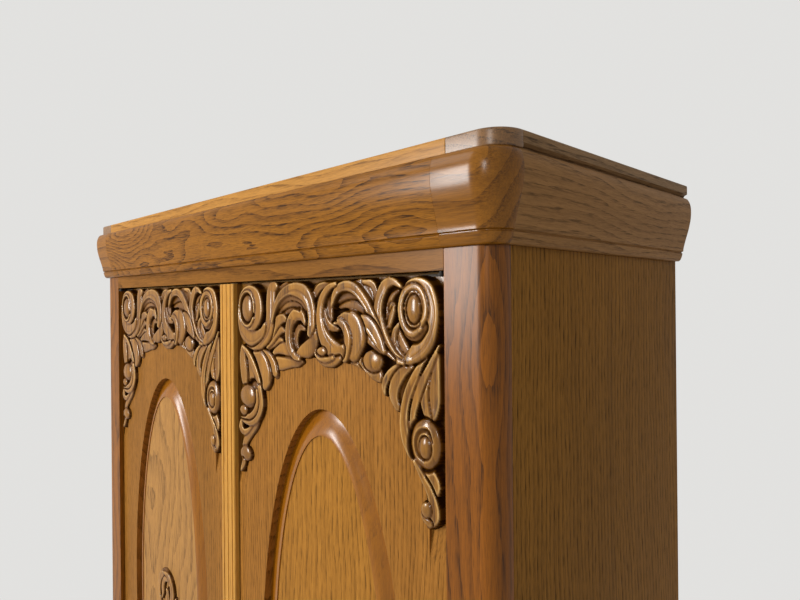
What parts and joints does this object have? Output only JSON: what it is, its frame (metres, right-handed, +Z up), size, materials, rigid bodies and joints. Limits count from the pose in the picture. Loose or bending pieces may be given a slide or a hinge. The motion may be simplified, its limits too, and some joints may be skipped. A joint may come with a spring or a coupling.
{
  "type": "linen cupboard",
  "caption": "Oak linen cupboard with hinged doors, moulded cornice, rounded corner posts, oval door mouldings, scroll carving, inner shelves and bun feet.",
  "frame": {"origin": "middle of the cupboard's outer box at floor level", "axes": "+X to the right seen from the front, +Y to the back, +Z up"},
  "size_m": [1.2012, 0.5272, 1.72],
  "materials": {
    "oak_foot": "stained oak under a gloss varnish",
    "oak_plinth": "stained oak under a gloss varnish",
    "oak_post": "stained oak under a gloss varnish",
    "oak_side": "stained oak under a gloss varnish",
    "oak_rail": "stained oak under a gloss varnish",
    "oak_inside": "thin matt varnish",
    "oak_back": "thin matt varnish",
    "oak_cornice": "stained oak under a gloss varnish",
    "oak_cornice_corner": "stained oak under a gloss varnish",
    "oak_top": "stained oak under a gloss varnish",
    "oak_top_corner": "stained oak under a gloss varnish",
    "oak_door": "stained oak under a gloss varnish",
    "oak_panel": "stained oak under a gloss varnish",
    "oak_moulding": "stained oak under a gloss varnish",
    "oak_carving": "stained oak under a gloss varnish",
    "oak_strip": "stained oak under a gloss varnish",
    "brass": "aged, satin",
    "steel": "satin"
  },
  "bodies": {
    "carcass": {"bun_feet": "oak_foot", "plinth_front": "oak_plinth", "plinth_side_left": "oak_plinth", "plinth_side_right": "oak_plinth", "plinth_corner_left": "oak_plinth", "plinth_corner_right": "oak_plinth", "post_left": "oak_post", "post_right": "oak_post", "side_panel_left": "oak_side", "side_panel_right": "oak_side", "top_rail": "oak_rail", "bottom_rail": "oak_rail", "bottom_board": "oak_inside", "inner_top": "oak_inside", "door_stop": "oak_inside", "shelf_lower": "oak_inside", "shelf_middle": "oak_inside", "shelf_upper": "oak_inside", "shelf_battens": "oak_inside", "plinth_rear_rail": "oak_inside", "cornice_rear_rail": "oak_inside", "back_stiles": "oak_back", "back_rails": "oak_back", "back_panels": "oak_back", "cornice_front": "oak_cornice", "cornice_side_left": "oak_cornice", "cornice_side_right": "oak_cornice", "cornice_corner_left": "oak_cornice_corner", "cornice_corner_right": "oak_cornice_corner", "top_board": "oak_top", "top_lip_front": "oak_top", "top_lip_left": "oak_top", "top_lip_right": "oak_top", "top_corner_left": "oak_top_corner", "top_corner_right": "oak_top_corner", "frame_pivots": "steel"},
    "left_door": {"left_door_board": "oak_door", "left_door_back": "oak_inside", "left_oval_moulding": "oak_moulding", "left_oval_panel": "oak_panel", "left_carving": "oak_carving", "left_leaf_ornament": "oak_carving", "centre_strip": "oak_strip", "left_door_pivots": "steel", "bolt_guides": "steel", "lock_keeper": "steel"},
    "right_door": {"right_door_board": "oak_door", "right_door_back": "oak_inside", "right_oval_moulding": "oak_moulding", "right_oval_panel": "oak_panel", "right_carving": "oak_carving", "right_leaf_ornament": "oak_carving", "right_door_pivots": "steel", "lock_case": "steel", "escutcheon": "brass"},
    "key": {"key": "brass"},
    "lock_bolt": {"lock_bolt": "steel"},
    "top_bolt": {"top_bolt": "steel"},
    "bottom_bolt": {"bottom_bolt": "steel"}
  },
  "joints": [
    {"name": "left_door_hinge", "type": "hinge", "parent": "carcass", "child": "left_door", "pos_m": [-0.495, -0.2335, 0.9255], "axis": [0, 0, -1], "range_deg": [0, 100]},
    {"name": "right_door_hinge", "type": "hinge", "parent": "carcass", "child": "right_door", "pos_m": [0.495, -0.2335, 0.9255], "axis": [0, 0, 1], "range_deg": [0, 100]},
    {"name": "key_turn", "type": "hinge", "parent": "right_door", "child": "key", "pos_m": [0.05125, -0.2285, 0.9255], "axis": [0, 1, 0], "range_deg": [0, 180]},
    {"name": "lock_bolt_slide", "type": "slide", "parent": "right_door", "child": "lock_bolt", "axis": [-1, 0, 0], "range_m": [0, 0.012]},
    {"name": "top_bolt_slide", "type": "slide", "parent": "left_door", "child": "top_bolt", "axis": [0, 0, 1], "range_m": [0, 0.018]},
    {"name": "bottom_bolt_slide", "type": "slide", "parent": "left_door", "child": "bottom_bolt", "axis": [0, 0, -1], "range_m": [0, 0.018]}
  ],
  "couplings": [
    {"joint": "key_turn", "follows": "lock_bolt_slide", "rad_per_m": 261.79}
  ]
}
